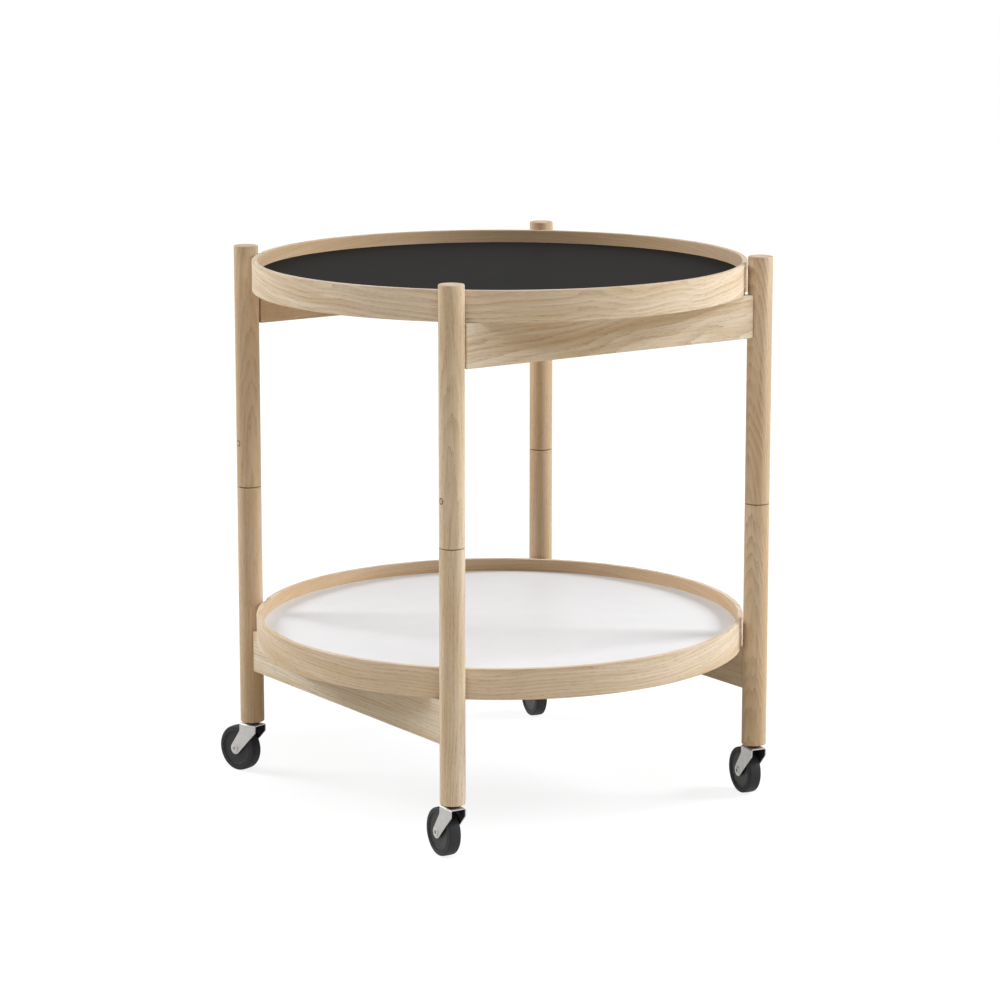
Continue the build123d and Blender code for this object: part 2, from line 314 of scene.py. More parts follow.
laminate = {
    "mottle": {"scale": 35.0, "detail": 3.0, "roughness": 0.5, "levels": (0.3, 0.7)},
    "mottleShare": 0.50,
    "mottleRoughness": 0.02,
    "grit": {"scale": 2600.0, "detail": 1.0, "roughness": 0.5},
    "gritShare": 0.30,
    "bump": (0.12, 0.00004),
}


def laminateMaterial(name, main, fleck, roughness, sheen):
    # A pressed sheet: a faint mottle, and the fine pebble of a matt press plate.
    material, place = startMaterial(name)
    mottle = place.noise(laminate["mottle"])
    grit = place.noise(laminate["grit"])
    endMaterial(place, {
        "Base Color": (mottle * laminate["mottleShare"] + grit * laminate["gritShare"]).mix(main, fleck),
        "Roughness": roughness + laminate["mottleRoughness"] * mottle,
        "Specular IOR Level": sheen,
        "Normal": grit.bump(*laminate["bump"]),
    })
    return material


moulding = {
    "dust": {"scale": 90.0, "detail": 4.0, "roughness": 0.6, "levels": (0.35, 0.75)},
    "dustShare": 0.55,
    "dustRoughness": 0.10,
    "spark": {"scale": 1500.0, "detail": 2.0, "roughness": 0.5},
    "sparkShare": 0.20,
    "bump": (0.25, 0.00005),
}


def mouldedMaterial(name, main, worn, roughness, sheen):
    # Moulded nylon or rubber: a fine spark texture, and a dusty lift of colour in broad patches.
    material, place = startMaterial(name)
    dust = place.noise(moulding["dust"])
    spark = place.noise(moulding["spark"])
    endMaterial(place, {
        "Base Color": (dust * moulding["dustShare"] + spark * moulding["sparkShare"]).mix(main, worn),
        "Roughness": roughness + moulding["dustRoughness"] * dust,
        "Specular IOR Level": sheen,
        "Normal": spark.bump(*moulding["bump"]),
    })
    return material


plating = {
    "level": (220.0, 220.0, 2400.0),  # cells of noise in a metre of X, Y and Z, for lines that lie level
    "upright": (1800.0, 1800.0, 120.0),
    "lines": {"scale": 1.0, "detail": 3.0, "roughness": 0.6},
    "lineShare": 0.40,
    "lineRoughness": 0.06,
    "lineMetallic": 0.15,
    "bloom": {"scale": 160.0, "detail": 4.0, "roughness": 0.6, "levels": (0.3, 0.7)},
    "bloomShare": 0.60,
    "bloomRoughness": 0.10,
    "metallic": 0.85,
    "paintedShadeRoughness": 0.20,  # how much rougher an inner side's painted shade is
    "paintedShadeMetallic": 0.70,   # and how much less of a metal
    "bump": (0.10, 0.00003),
}


def metalMaterial(name, main, dull, roughness, brushed, inner=None):
    # Plated steel: drawn lines, and a cloudy bloom in the plating. The inner sides that a mesh marks, of a
    # folded sheet or an eye, get painted shade: near black, rougher and less of a metal.
    material, place = startMaterial(name)
    lines = place.node("Mapping", None, {"Vector": place, "Scale": brushed}).noise(plating["lines"])
    bloom = place.noise(plating["bloom"])
    colour = (plating["bloomShare"] * bloom + plating["lineShare"] * lines).mix(main, dull)
    metallic = plating["metallic"] + plating["lineMetallic"] * lines
    rough = roughness + plating["bloomRoughness"] * bloom + plating["lineRoughness"] * lines
    if inner:
        # Painted shade: where the mesh marks an inner side, the colour goes to the given near black.
        inside = place.node("Attribute", {"attribute_name": "inside"}, None, "Fac")
        colour = inside.mix(colour, inner)
        metallic = metallic - plating["paintedShadeMetallic"] * inside
        rough = rough + plating["paintedShadeRoughness"] * inside
    endMaterial(place, {
        "Base Color": colour,
        "Metallic": metallic,
        "Roughness": rough,
        "Normal": lines.bump(*plating["bump"]),
    })
    return material


birch = {
    "light": paint(222, 203, 170),
    "dark": paint(186, 158, 120),
    "ply": 0.0007,           # thickness of a veneer
    "plyLevels": (0.3, 0.7),
    "plyShare": 0.60,
    "cloud": {"scale": 220.0, "detail": 3.0, "roughness": 0.5},
    "cloudShare": 0.40,
    "cloudRoughness": 0.15,
    "roughness": 0.55,
}


def birchMaterial(name):
    # Birch ply seen at its edge: veneers stacked upwards, lighter and darker by turns.
    material, place = startMaterial(name)
    up = place.parts()[2]
    ply = (place.maths("PINGPONG", up, birch["ply"]) / birch["ply"]).between(*birch["plyLevels"])
    cloud = place.noise(birch["cloud"])
    shade = ply * birch["plyShare"] + birch["cloudShare"] * cloud
    endMaterial(place, {
        "Base Color": shade.mix(birch["light"], birch["dark"]),
        "Roughness": birch["roughness"] + birch["cloudRoughness"] * cloud,
    })
    return material


# Surfaces from numpy grids

hair = 1e-7                      # points this close count as one
sharpAngle = math.radians(35)    # an edge that turns further stays sharp


def roundProfile(outline, steps=6, hold=0.00015):
    # An outline of (across, up, radius) corners as points. Each corner's arc touches both of its edges at
    # radius / tan(half the corner's angle), about a centre on the corner's bisector. A point a little way
    # along each edge keeps its flat part flat where the surface is shaded smooth.
    spots = np.array(outline, float)[:, :2]
    points = []
    for index, (here, radius) in enumerate(zip(spots, [corner[2] for corner in outline])):
        back = spots[index - 1] - here
        ahead = spots[(index + 1) % len(spots)] - here
        back, ahead = back / np.linalg.norm(back), ahead / np.linalg.norm(ahead)
        if radius == 0:
            points.append(here[None, :])
            continue
        half = math.acos(float(np.clip(back @ ahead, -1, 1))) / 2
        bisector = (back + ahead) / np.linalg.norm(back + ahead)
        centre = here + bisector * radius / math.sin(half)
        start = here + back * radius / math.tan(half) - centre
        end = here + ahead * radius / math.tan(half) - centre
        first = math.atan2(start[1], start[0])
        swing = (math.atan2(end[1], end[0]) - first + math.pi) % (2 * math.pi) - math.pi
        angles = first + swing * np.linspace(0, 1, steps + 1)
        arc = centre + radius * np.stack([np.cos(angles), np.sin(angles)], 1)
        if radius > 2 * hold:
            arc = np.concatenate([arc[:1] + back * hold, arc, arc[-1:] + ahead * hold])
        points.append(arc)
    return np.concatenate(points)


def gridPiece(name, points, material, body, nodes, ringsMeet=True, sidesMeet=True, inside=None):
    # A surface from points[ring, side]: each face joins four neighbours. Where the rings don't meet, a face
    # closes each end. Where the sides don't, they start and end on the axis that the rings go round.
    rings, sides = points.shape[:2]
    ringStarts = np.arange(rings if ringsMeet else rings - 1)
    sideStarts = np.arange(sides if sidesMeet else sides - 1)
    ring, side = np.meshgrid(ringStarts, sideStarts, indexing="ij")
    nextRing, nextSide = (ring + 1) % rings, (side + 1) % sides
    faces = np.stack([
        ring * sides + side, nextRing * sides + side, nextRing * sides + nextSide, ring * sides + nextSide,
    ], -1).reshape(-1, 4).tolist()
    if not ringsMeet:
        faces += [list(range(sides)), list(range((rings - 1) * sides, rings * sides))]
    mesh = bpy.data.meshes.new(name)
    mesh.from_pydata(points.reshape(-1, 3), [], faces)
    # Points marked as inside get the painted shade of a material that reads the mark.
    if inside is not None:
        mesh.attributes.new("inside", "FLOAT", "POINT").data.foreach_set("value", inside.ravel())
    tidyNormals(mesh)
    mesh.polygons.foreach_set("use_smooth", np.ones(len(mesh.polygons), bool))
    mesh.set_sharp_from_angle(angle=sharpAngle)
    piece = bpy.data.objects.new(name, mesh)
    bpy.context.scene.collection.objects.link(piece)
    mesh.materials.append(material)
    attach(piece, body)
    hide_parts(*nodes)
    return piece


def tidyNormals(mesh):
    # Merges doubles and turns the faces of a closed surface outwards.
    work = bmesh.new()
    work.from_mesh(mesh)
    bmesh.ops.remove_doubles(work, verts=work.verts, dist=hair)
    bmesh.ops.recalc_face_normals(work, faces=work.faces)
    work.to_mesh(mesh)
    work.free()


# Tray rims

rimPlan = {
    "wall": 0.006,
    "arris": 0.0010,
    "groove": 0.00295,       # height of the groove that holds the board
    "grooveDepth": 0.00205,
    "notchDepth": 0.0024,
    "notchRadius": 0.030,
    "stepsPerNotch": 16,
    "stepsBetween": 150,
}


def rimAngles(radius, plan):
    # Angles round the rim that meet each notch's two edges exactly.
    reach = radius - plan["notchDepth"] + plan["notchRadius"]
    half = math.acos((reach ** 2 + radius ** 2 - plan["notchRadius"] ** 2) / (2 * reach * radius))
    pieces = []
    for notch in range(4):
        middle = math.pi / 4 + notch * math.pi / 2
        start, end, nextStart = middle - half, middle + half, middle + math.pi / 2 - half
        pieces.append(np.linspace(start, end, plan["stepsPerNotch"], endpoint=False))
        pieces.append(np.linspace(end, nextStart, plan["stepsBetween"], endpoint=False))
    return np.concatenate(pieces)


def trayRim(name, body, material, plan):
    # The rim's section is carried round the tray's axis. Where a leg stands, the section's outer points stop
    # at a hollow about an upright line: its distance at an angle a off the notch's middle is
    # reach * cos(a) - sqrt(hollow radius squared - (reach * sin(a)) squared).
    low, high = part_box(name)
    radius = (high.x - low.x) / 2
    inner = radius - plan["wall"]
    middle = (low.z + high.z) / 2
    grooveLow, grooveHigh = middle - plan["groove"] / 2, middle + plan["groove"] / 2
    arris = plan["arris"]
    section = roundProfile([
        (inner, low.z, arris), (radius, low.z, arris), (radius, high.z, arris), (inner, high.z, arris),
        (inner, grooveHigh, 0), (inner + plan["grooveDepth"], grooveHigh, 0),
        (inner + plan["grooveDepth"], grooveLow, 0), (inner, grooveLow, 0),
    ])
    angles = rimAngles(radius, plan)
    reach = radius - plan["notchDepth"] + plan["notchRadius"]
    offMiddle = (angles % (math.pi / 2)) - math.pi / 4
    inside = plan["notchRadius"] ** 2 - (reach * np.sin(offMiddle)) ** 2
    hollow = np.where(inside > 0, reach * np.cos(offMiddle) - np.sqrt(np.maximum(inside, 0)), radius)
    outward = np.minimum(section[None, :, 0], hollow[:, None])
    points = np.stack([
        outward * np.cos(angles)[:, None],
        outward * np.sin(angles)[:, None],
        np.broadcast_to(section[None, :, 1], outward.shape),
    ], -1)
    return gridPiece(name + "_bent", points, material, body, [name])


# Casters

wheelPlan = {
    "segments": 120,
    "half": 0.00675,         # half the tyre's width
    "seat": 0.01802,         # radius where the tyre sits on the wheel's centre
    "shoulder": 0.0017,
    "sideFall": 0.0005,      # how far the tyre's side falls from its ring to its shoulder
    "crown": 0.00025,        # how far the tread falls from its middle to its shoulders
    "treadFlat": 0.0004,     # half the level stretch in the tread's middle
    "treadBend": 0.0002,
    "seatBend": 0.0002,
    "grooveRadius": 0.0196,  # of the fine ring in the tyre's side
    "grooveWidth": 0.0007,
    "grooveDepth": 0.00035,
    "grooveBends": (0.0001, 0.0002, 0.0003),
    "rimStep": 0.0006,
    "rimWidth": 0.0016,
    "rimBend": 0.0002,
    "rimFoot": 0.0003,       # radius of the bend where the rim meets the web
    "seatGap": 0.00004,
    "webStep": 0.0004,
    "draft": 0.0002,         # how far the walls of the rim and the boss lean
    "boss": 0.0055,
    "bossHalf": 0.0070,
    "bossBend": 0.0003,
    "bossFoot": 0.0004,
    "bore": 0.0023,
    "boreBend": 0.0002,
}
axlePlan = {
    "segments": 48,
    "shank": 0.00225,
    "half": 0.0085,          # half the fork's width
    "head": 0.0037,
    "headHeight": 0.0008,
    "headRound": 0.00045,
    "eye": 0.0018,           # radius of the blind hole in the rivet's hollow end
    "eyeDepth": 0.0012,
    "eyeBend": 0.0003,
    "eyeLip": 0.0002,        # the stretch at the mouth of the eye left out of its painted shade
}
forkPlan = {
    "sheet": 0.0012,
    "gap": 0.0146,           # between the side plates
    "front": 0.0113,         # from the swivel's axis forward to the front edge
    "back": 0.0112,
    "innerBend": 0.0008,
    "tip": 0.0062,           # radius of the round end about the axle
    "frontDrop": 0.0078,     # height of the upright part of the front edge
    "backDrop": 0.0085,
    "frontRound": 0.0030,
    "backRound": 0.0080,
    "edge": 0.0003,          # rounding of the cut edges
    "topInset": 0.0003,      # how far past its bend the flat top has its first points
    "tipAngles": (0.06, 2.3),  # the round end's stretch, from straight down
    "tipSteps": 24,
    "plateSteps": 32,
    "bendSteps": 9,
    "edgeSteps": 12,
}


def tyreSection(radius, plan):
    # One side from the seat to the tread's middle, then the same mirrored.
    half, groove, width = plan["half"], plan["grooveRadius"], plan["grooveWidth"] / 2
    firstBend, floorBend, lastBend = plan["grooveBends"]
    side = [
        (plan["seat"], half, plan["seatBend"]),
        (groove - width, half, firstBend),
        (groove, half - plan["grooveDepth"], floorBend),
        (groove + width, half, lastBend),
        (radius - plan["crown"], half - plan["sideFall"], plan["shoulder"]),
        (radius, plan["treadFlat"], plan["treadBend"]),
    ]
    return side + [(reach, -level, bend) for reach, level, bend in reversed(side)]


def centreSection(plan):
    # One side from the bore over the boss, the web and the rim, then the same mirrored.
    rimHalf = plan["half"] - plan["rimStep"]
    webHalf = rimHalf - plan["webStep"]
    inside = plan["seat"] - plan["rimWidth"]
    side = [
        (plan["bore"], plan["bossHalf"], plan["boreBend"]),
        (plan["boss"] - plan["draft"], plan["bossHalf"], plan["bossBend"]),
        (plan["boss"], webHalf, plan["bossFoot"]),
        (inside, webHalf, plan["rimFoot"]),
        (inside + plan["draft"], rimHalf, plan["rimBend"]),
        (plan["seat"] - plan["seatGap"], rimHalf, plan["rimBend"]),
    ]
    return side + [(reach, -level, bend) for reach, level, bend in reversed(side)]


def axleSection(plan):
    # From the bottom of the eye over its head, along the shank and over the plain head to the axis.
    half, end = plan["half"], plan["half"] + plan["headHeight"]
    bottom = end - plan["eyeDepth"]
    return [
        (0.0, bottom, 0), (plan["eye"], bottom, plan["eyeBend"]), (plan["eye"], end, plan["eyeBend"]),
        (plan["head"], end, plan["headRound"]), (plan["head"], half, 0), (plan["shank"], half, 0),
        (plan["shank"], -half, 0), (plan["head"], -half, 0), (plan["head"], -end, plan["headRound"]),
        (0.0, -end, 0),
    ]


def casterPlace(corner, middle):
    # The caster's own frame about a point: x runs from the swivel back to the wheel, y along the axle, z up.
    up = Vector((0, 0, 1))
    axle = Vector(joints["wheel_spin_" + corner]["axis"]).normalized()
    place = Matrix((axle.cross(up), axle, up)).transposed().to_4x4()
    place.translation = middle
    return np.array(place)


def placed(points, place):
    return points @ place[:3, :3].T + place[:3, 3]


def turnedPiece(name, section, place, segments, material, body, nodes, eye=None):
    # The section's points (reach, level) go round the axle: (reach * cos(a), level, reach * sin(a)).
    # The wall of an eye, a hole of this radius below this level, is marked as an inner side, for painted
    # shade.
    solid = section[0][0] == 0
    section = roundProfile(section)
    angles = np.arange(segments) * 2 * math.pi / segments
    reach, level = section[None, :, 0], section[None, :, 1]
    points = np.stack([
        reach * np.cos(angles)[:, None],
        np.broadcast_to(level, (len(angles), len(section))),
        reach * np.sin(angles)[:, None],
    ], -1)
    inner = None
    if eye:
        wall = (reach > eye[0] / 2) & (reach < eye[0] + hair) & (level > 0) & (level < eye[1])
        inner = np.broadcast_to(wall, points.shape[:2]).astype(float)
    return gridPiece(
        name, placed(points, place), material, body, nodes, sidesMeet=not solid, inside=inner)


def tangentPoint(anchor, centre, radius, side):
    # With the centre a distance d away, the tangent is sqrt(d^2 - r^2) long, and points asin(r / d) off the
    # centre's direction.
    away = centre - anchor
    distance = math.hypot(*away)
    heading = math.atan2(away[1], away[0]) + side * math.asin(radius / distance)
    length = math.sqrt(distance ** 2 - radius ** 2)
    return anchor + length * np.array([math.cos(heading), math.sin(heading)])


def forkEdges(heights, top, axle, plan):
    # Where the side plate's front and back edges stand at these heights. Below each line's foot they are
    # the tip's circle, x = axle -+ sqrt(tip^2 - (z - axle)^2).
    tip = plan["tip"]
    frontKnee = np.array([-plan["front"], top - plan["frontDrop"]])
    backKnee = np.array([plan["back"], top - plan["backDrop"]])
    half = np.sqrt(np.maximum(tip ** 2 - (heights - axle[1]) ** 2, 0))
    edges = []
    for knee, bend, side in ((frontKnee, plan["frontRound"], -1), (backKnee, plan["backRound"], 1)):
        foot = tangentPoint(knee, axle, tip, side)
        line = roundProfile([(*foot, 0), (*knee, bend), (knee[0], top, 0)], plan["edgeSteps"])
        edge = np.interp(heights, line[:, 1], line[:, 0])
        edges.append(np.where(heights < foot[1], axle[0] + side * half, edge))
    return edges


def casterFork(name, corner, material, plan):
    # A rounded strip, as thick as the sheet and as wide as the fork is at each height, is carried up one
    # side plate, round the bend, over the top and down the other plate.
    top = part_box("caster_fork_" + corner)[1].z
    swivel = middleOf("caster_stem_" + corner)
    wheel = middleOf("wheel_tyre_" + corner)
    axle = np.array([math.hypot(wheel.x - swivel.x, wheel.y - swivel.y), wheel.z])
    sheet, tip, half = plan["sheet"], plan["tip"], plan["front"]
    bendStart = top - sheet - plan["innerBend"]
    atTip = axle[1] - tip * np.cos(np.linspace(*plan["tipAngles"], plan["tipSteps"]))
    heights = np.concatenate([atTip, np.linspace(atTip[-1], bendStart, plan["plateSteps"])[1:]])
    turn = np.linspace(0, math.pi / 2, plan["bendSteps"])[1:]
    flat = plan["gap"] / 2 - plan["innerBend"]
    bend = plan["innerBend"] + sheet / 2
    across = np.concatenate([
        0 * heights + flat + bend, flat + bend * np.cos(turn), [flat - plan["topInset"]]])
    up = np.concatenate([heights, bendStart + bend * np.sin(turn), [bendStart + bend]])
    facing = np.concatenate([0 * heights, turn, turn[-1:]])
    across, up, facing = [
        np.concatenate([side, other[::-1]])
        for side, other in ((across, -across), (up, up), (facing, math.pi - facing))]
    front, back = forkEdges(up, top, axle, plan)
    strip = roundProfile([
        (half, sheet / 2, plan["edge"]), (-half, sheet / 2, plan["edge"]),
        (-half, -sheet / 2, plan["edge"]), (half, -sheet / 2, plan["edge"])])
    reach = np.maximum(np.abs(strip[:, 0]) - half + (back - front)[:, None] / 2, 0) * np.sign(strip[:, 0])
    points = np.stack([
        (front + back)[:, None] / 2 + reach,
        across[:, None] + strip[:, 1] * np.cos(facing)[:, None],
        up[:, None] + strip[:, 1] * np.sin(facing)[:, None],
    ], -1)
    # The plates' inner faces and the top's underside are marked for the material's painted shade.
    inner = np.broadcast_to(strip[:, 1] < hair - sheet / 2, reach.shape).astype(float)
    place = casterPlace(corner, (swivel.x, swivel.y, 0))
    gridPiece(name, placed(points, place), material, "caster_" + corner,
              ["caster_fork_" + corner], ringsMeet=False, inside=inner)


# Materials, one for each piece of oak so that no two have the same figure

quarter = math.pi / 2
# A leg's deep direction at turn 0 is the object's back. Away from the photograph's camera it is -0.613.
# A leg's tone is partly the wood's own and partly painted shade: the back legs are deepened most, for the
# shade behind the trays.
legPlans = {
    "upper_leg_front_left": {
        "turn": -0.55, "pith": (0.010, 0.080), "slope": 0.045, "lean": 0.010, "wander": 0.010,
        "figure": 0.55, "shift": 11.0, "toneAndPaintedLight": 0.0},
    "lower_leg_front_left": {
        "turn": 0.95, "pith": (0.020, 0.080), "slope": 0.020, "lean": 0.015, "wander": 0.008,
        "figure": 0.45, "shift": 24.0, "toneAndPaintedLight": 0.0},
    "upper_leg_front_right": {
        "turn": -1.48, "pith": (0.000, 0.060), "slope": 0.160, "lean": 0.020, "wander": 0.012,
        "figure": 1.40, "shift": 37.0, "toneAndPaintedLight": 0.22},
    "lower_leg_front_right": {
        "turn": -1.10, "pith": (0.000, 0.060), "slope": 0.130, "lean": 0.020, "wander": 0.012,
        "figure": 1.20, "shift": 41.0, "toneAndPaintedLight": 0.22},
    "upper_leg_back_left": {
        "turn": -0.20, "pith": (0.000, 0.070), "slope": 0.070, "lean": 0.015, "wander": 0.012,
        "figure": 1.00, "shift": 58.0, "toneAndPaintedLight": 0.34},
    "lower_leg_back_left": {
        "turn": 0.50, "pith": (0.010, 0.070), "slope": 0.030, "lean": 0.010, "wander": 0.008,
        "figure": 0.55, "shift": 63.0, "toneAndPaintedLight": 0.34},
    "upper_leg_back_right": {
        "turn": 1.00, "pith": (0.000, 0.080), "slope": 0.010, "lean": 0.005, "wander": 0.006,
        "figure": 0.45, "shift": 79.0, "toneAndPaintedLight": 0.42},
    "lower_leg_back_right": {
        "turn": 0.90, "pith": (0.000, 0.080), "slope": 0.010, "lean": 0.005, "wander": 0.006,
        "figure": 0.45, "shift": 86.0, "toneAndPaintedLight": 0.42},
}
# Deep runs through an upper rail's thickness, and across runs down its height. In a lower rail it is the
# other way round.
# A rail's tone is partly the wood's own: the back rail is deepened as painted shade, and the front and lower
# left rails paled as painted light.
railPlans = {
    "upper_rail_front": {
        "turn": (0, quarter, 0), "pith": (0.030, 0.060), "slope": 0.035, "lean": 0.060, "wander": 0.018,
        "figure": 0.75, "shift": 102.0, "toneAndPaintedLight": -0.12},
    "upper_rail_back": {
        "turn": (0, quarter, 0), "pith": (-0.050, 0.030), "slope": 0.010, "lean": 0.010, "wander": 0.010,
        "figure": 0.50, "shift": 118.0, "toneAndPaintedLight": 0.50},
    "lower_rail_left": {
        "turn": (-quarter, 0, 0), "pith": (0.030, 0.060), "slope": 0.010, "lean": 0.010, "wander": 0.010,
        "figure": 0.50, "shift": 127.0, "toneAndPaintedLight": -0.25},
    "lower_rail_right": {
        "turn": (-quarter, 0, 0), "pith": (0.035, 0.055), "slope": 0.010, "lean": 0.010, "wander": 0.010,
        "figure": 0.50, "shift": 139.0, "toneAndPaintedLight": 0.15},
}
# A rim's grain is turned so that its first direction points at the photograph's camera.
rimPlans = {
    "upper_tray_rim": {
        "turn": -2.18, "pith": (0.050, -0.030), "slope": 0.040, "lean": 0.110, "wander": 0.020,
        "figure": 0.80, "shift": 151.0, "toneAndPaintedLight": 0.0},
    "lower_tray_rim": {
        "turn": -2.18, "pith": (0.060, -0.020), "slope": 0.030, "lean": 0.110, "wander": 0.014,
        "figure": 0.60, "shift": 166.0, "toneAndPaintedLight": 0.0},
}
plugPlan = {
    "turn": (0, quarter, 0), "pith": (0.0, 0.03), "slope": 0.0, "lean": 0.0, "wander": 0.0,
    "figure": 0.5, "shift": 180.0, "toneAndPaintedLight": 0.35,
    "seamInsets": (0.0014, 0.0006),  # how far inside a plug's edge its glue line starts, and is darkest
}
plugLow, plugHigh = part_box("leg_plugs")
plugRadius = (plugHigh.z - plugLow.z) / 2
plugPlan["seam"] = {
    "y": plugHigh.y - plugRadius, "z": plugHigh.z - plugRadius,
    "from": plugRadius - plugPlan["seamInsets"][0], "to": plugRadius - plugPlan["seamInsets"][1]}

for node, plan in legPlans.items():
    place = middleOf(node)
    dress(node, oakMaterial(
        "oak_" + node, lambda start: straightGrain(start, place, (0, 0, plan["turn"])), plan))
for node, plan in railPlans.items():
    place = middleOf(node)
    dress(node, oakMaterial("oak_" + node, lambda start: straightGrain(start, place, plan["turn"]), plan))
rimMaterials = {}
for node, plan in rimPlans.items():
    low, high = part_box(node)
    place, radius = middleOf(node), (high.x - low.x) / 2
    plan["wall"] = rimPlan["wall"]
    rimMaterials[node] = oakMaterial(
        "oak_" + node, lambda start: bentGrain(start, radius, place, (0, 0, plan["turn"])), plan)
dress("leg_plugs", oakMaterial(
    "oak_plugs", lambda start: straightGrain(start, (0, 0, 0), plugPlan["turn"]), plugPlan))
print("oak ready")

blackLaminate = laminateMaterial(
    "black_laminate", paint(36, 35, 34), paint(39, 38, 37), roughness=0.50, sheen=0.003)
whiteLaminate = laminateMaterial(
    "white_laminate", paint(229, 229, 231), paint(225, 225, 227), roughness=0.45, sheen=0.15)
rubber = mouldedMaterial("tyre_rubber", paint(45, 47, 50), paint(53, 55, 58), roughness=0.60, sheen=0.22)
nylon = mouldedMaterial("black_nylon", paint(38, 39, 40), paint(47, 48, 49), roughness=0.45, sheen=0.28)
darkNylon = mouldedMaterial("dark_nylon", paint(52, 47, 42), paint(66, 60, 54), roughness=0.50, sheen=0.30)
bushNylon = mouldedMaterial(
    "bush_nylon", paint(205, 202, 192), paint(190, 186, 174), roughness=0.45, sheen=0.35)
zinc = metalMaterial(
    "zinc_steel", paint(208, 207, 204), paint(192, 191, 188), roughness=0.40, brushed=plating["level"])
# The fork's inner sides and its rivets' eyes are painted near black: painted shade between the plates and in
# the eyes.
forkZinc = metalMaterial(
    "fork_steel", paint(190, 188, 185), paint(181, 179, 176), roughness=0.45, brushed=plating["level"],
    inner=paint(22, 22, 21))
darkSteel = metalMaterial(
    "dark_steel", paint(70, 66, 60), paint(48, 44, 40), roughness=0.45, brushed=plating["level"])
steel = metalMaterial(
    "bright_steel", paint(200, 199, 196), paint(176, 175, 172), roughness=0.25, brushed=plating["upright"])
birchCore = birchMaterial("birch_core")
for nodes, material in (
        (["upper_tray_black_top", "lower_tray_black_underside"], blackLaminate),
        (["lower_tray_white_top", "upper_tray_white_underside"], whiteLaminate),
        (["upper_tray_core", "lower_tray_core"], birchCore),
        (["leg_pivot_pins", "pin_lock_screws"], steel),
        (["leg_pivot_bushes"], bushNylon),
        (["leg_joint_washers"], darkNylon),
        (["caster_sockets"], zinc)):
    for node in nodes:
        dress(node, material)
for corner in corners:
    for part, material in (("fork", forkZinc), ("stem", zinc), ("collar", darkSteel), ("axle", zinc)):
        dress("caster_" + part + "_" + corner, material)
    dress("wheel_centre_" + corner, nylon)
    dress("wheel_tyre_" + corner, rubber)
print("materials ready")

for node, body in (("upper_tray_rim", "upper_tray"), ("lower_tray_rim", "lower_tray")):
    trayRim(node, body, rimMaterials[node], rimPlan)
for corner in corners:
    low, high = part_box("wheel_tyre_" + corner)
    place = casterPlace(corner, (low + high) / 2)
    segments = wheelPlan["segments"]
    turnedPiece("tyre_" + corner, tyreSection((high.z - low.z) / 2, wheelPlan), place, segments,
                rubber, "wheel_" + corner, ["wheel_tyre_" + corner])
    turnedPiece("hub_" + corner, centreSection(wheelPlan), place, segments,
                nylon, "wheel_" + corner, ["wheel_centre_" + corner])
    # A rivet's eye wall takes the fork steel's painted shade.
    turnedPiece("rivet_" + corner, axleSection(axlePlan), place, axlePlan["segments"],
                forkZinc, "caster_" + corner, ["caster_axle_" + corner],
                eye=(axlePlan["eye"], axlePlan["half"] + axlePlan["headHeight"] - axlePlan["eyeLip"]))
    casterFork("folded_fork_" + corner, corner, forkZinc, forkPlan)
print("rims and casters built")


# Floor, light and camera

stagePlan = {
    "floorRadius": 40.0,
    "floorSides": 64,
    "floorDrop": 0.0002,
    "tooth": {"scale": 60.0, "detail": 3.0, "roughness": 0.5},
    "toothShare": 0.02,
    "seenColour": (0.85, 0.85, 0.85, 1.0),
    "bounceColour": (0.92, 0.81, 0.66, 1.0),
    "litShare": 0.30,        # the share of the floor's white that is light fallen on it
    "nearLight": 0.85,       # the strength of the rest, under the object and far from it
    "farLight": 1.0,
    "lightSpread": (0.5, 2.6),
}
cameraPlan = {
    "location": (-1.8946, -2.6922, 0.95887),
    "yaw": 0.61329,
    "pitch": 0.18199,
    "sensor": 36.0,
    "lens": 118.02,
    "shift": -0.05,
}
# Headings and heights are angles in degrees, seen from the object's middle. Heading 0 is the camera's side
# of it and 90 its right. Powers are in watts.
lampColour = (0.955, 0.98, 1.0)
lampPlans = {
    "rightBox": {"heading": 98, "height": 26, "distance": 3.0, "size": (1.3, 1.0), "power": 86},
    "leftBox": {"heading": -108, "height": 27, "distance": 3.0, "size": (1.4, 1.0), "power": 66},
    "frontBox": {"heading": 5, "height": 50, "distance": 2.8, "size": (1.6, 1.4), "power": 26},
}
worldPlan = {"fill": 0.090, "colour": (1.0, 0.84, 0.64, 1.0)}


def seenDirectly(place):
    # 1 for rays from the camera, a mirror or clear glass, and 0 for light that falls on things.
    path = [place.node("LightPath", None, None, name)
            for name in ("Is Camera Ray", "Is Glossy Ray", "Is Transmission Ray")]
    return place.maths("MAXIMUM", place.maths("MAXIMUM", path[0], path[1]), path[2])


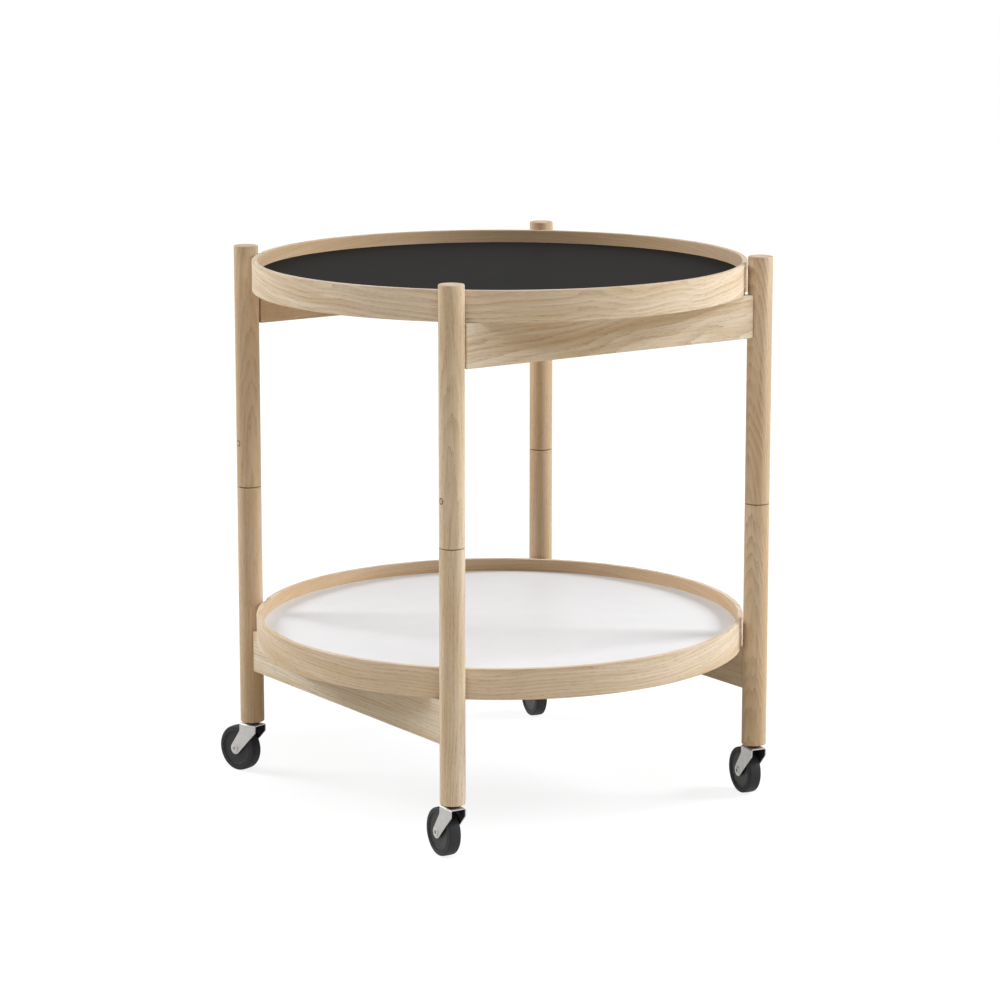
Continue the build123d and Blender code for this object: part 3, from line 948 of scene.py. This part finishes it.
def buildFloor(plan):
    angles = np.linspace(0, 2 * math.pi, plan["floorSides"], endpoint=False)
    points = np.stack([np.cos(angles), np.sin(angles), 0 * angles], 1) * plan["floorRadius"]
    points[:, 2] = -plan["floorDrop"]
    mesh = bpy.data.meshes.new("floor")
    mesh.from_pydata(points, [], [list(range(len(angles)))])
    floor = bpy.data.objects.new("floor", mesh)
    bpy.context.scene.collection.objects.link(floor)
    material, place = startMaterial("pale_floor")
    # The paper sweep looks white and throws a slightly warm light back up. Its tooth is a little whiter.
    tooth = place.noise(plan["tooth"]) * plan["toothShare"]
    paper = seenDirectly(place).mix(plan["bounceColour"], plan["seenColour"])
    diffuse = place.node("BsdfDiffuse", None, {"Color": tooth.mix(paper, (1.0, 1.0, 1.0, 1.0))})
    x, y, z = place.parts()
    away = place.maths("SQRT", x * x + y * y).between(*plan["lightSpread"])
    strength = (plan["nearLight"] + (plan["farLight"] - plan["nearLight"]) * away) / (1 - plan["litShare"])
    glow = place.node("Emission", None, {"Color": (1, 1, 1, 1), "Strength": strength})
    share = seenDirectly(place) * (1 - plan["litShare"])
    mixed = place.node("MixShader", None, {0: share, 1: diffuse, 2: glow})
    place.node("OutputMaterial", None, {"Surface": mixed})
    mesh.materials.append(material)


def buildWorld(plan):
    world = bpy.data.worlds.new("studio")
    bpy.context.scene.world = world
    world.use_nodes = True
    world.node_tree.nodes.clear()
    path = world.node_tree.nodes.new("ShaderNodeLightPath")
    place = Signal(world.node_tree, path.outputs[0])
    white = place.node("Background", None, {"Color": (1, 1, 1, 1), "Strength": 1.0})
    fill = place.node("Background", None, {"Color": plan["colour"], "Strength": plan["fill"]})
    mixed = place.node("MixShader", None, {0: seenDirectly(place), 1: fill, 2: white})
    place.node("OutputWorld", None, {"Surface": mixed})


def buildLamps(plans, yaw, target):
    for name, plan in plans.items():
        heading, height = math.radians(plan["heading"]), math.radians(plan["height"])
        # The camera stands at -(sin yaw, cos yaw), and headings turn to its right.
        toward = Vector((-math.sin(yaw - heading), -math.cos(yaw - heading), 0)) * math.cos(height)
        toward.z = math.sin(height)
        light = bpy.data.lights.new(name, "AREA")
        light.shape = "RECTANGLE"
        light.size, light.size_y = plan["size"]
        light.energy = plan["power"]
        light.color = lampColour
        lamp = bpy.data.objects.new(name, light)
        lamp.location = target + toward * plan["distance"]
        lamp.rotation_euler = toward.to_track_quat("Z", "Y").to_euler()
        bpy.context.scene.collection.objects.link(lamp)


def buildCamera(plan):
    camera = bpy.data.objects.new("camera", bpy.data.cameras.new("camera"))
    camera.location = plan["location"]
    camera.rotation_euler = (math.pi / 2 - plan["pitch"], 0, -plan["yaw"])
    camera.data.sensor_width = plan["sensor"]
    camera.data.lens = plan["lens"]
    camera.data.shift_y = plan["shift"]
    bpy.context.scene.collection.objects.link(camera)
    bpy.context.scene.camera = camera


middle = (Vector(cadBox[0]) + Vector(cadBox[1])) / 2
buildFloor(stagePlan)
buildWorld(worldPlan)
buildLamps(lampPlans, cameraPlan["yaw"], middle)
buildCamera(cameraPlan)
bpy.context.scene.view_settings.view_transform = "Standard"
print("stage ready")
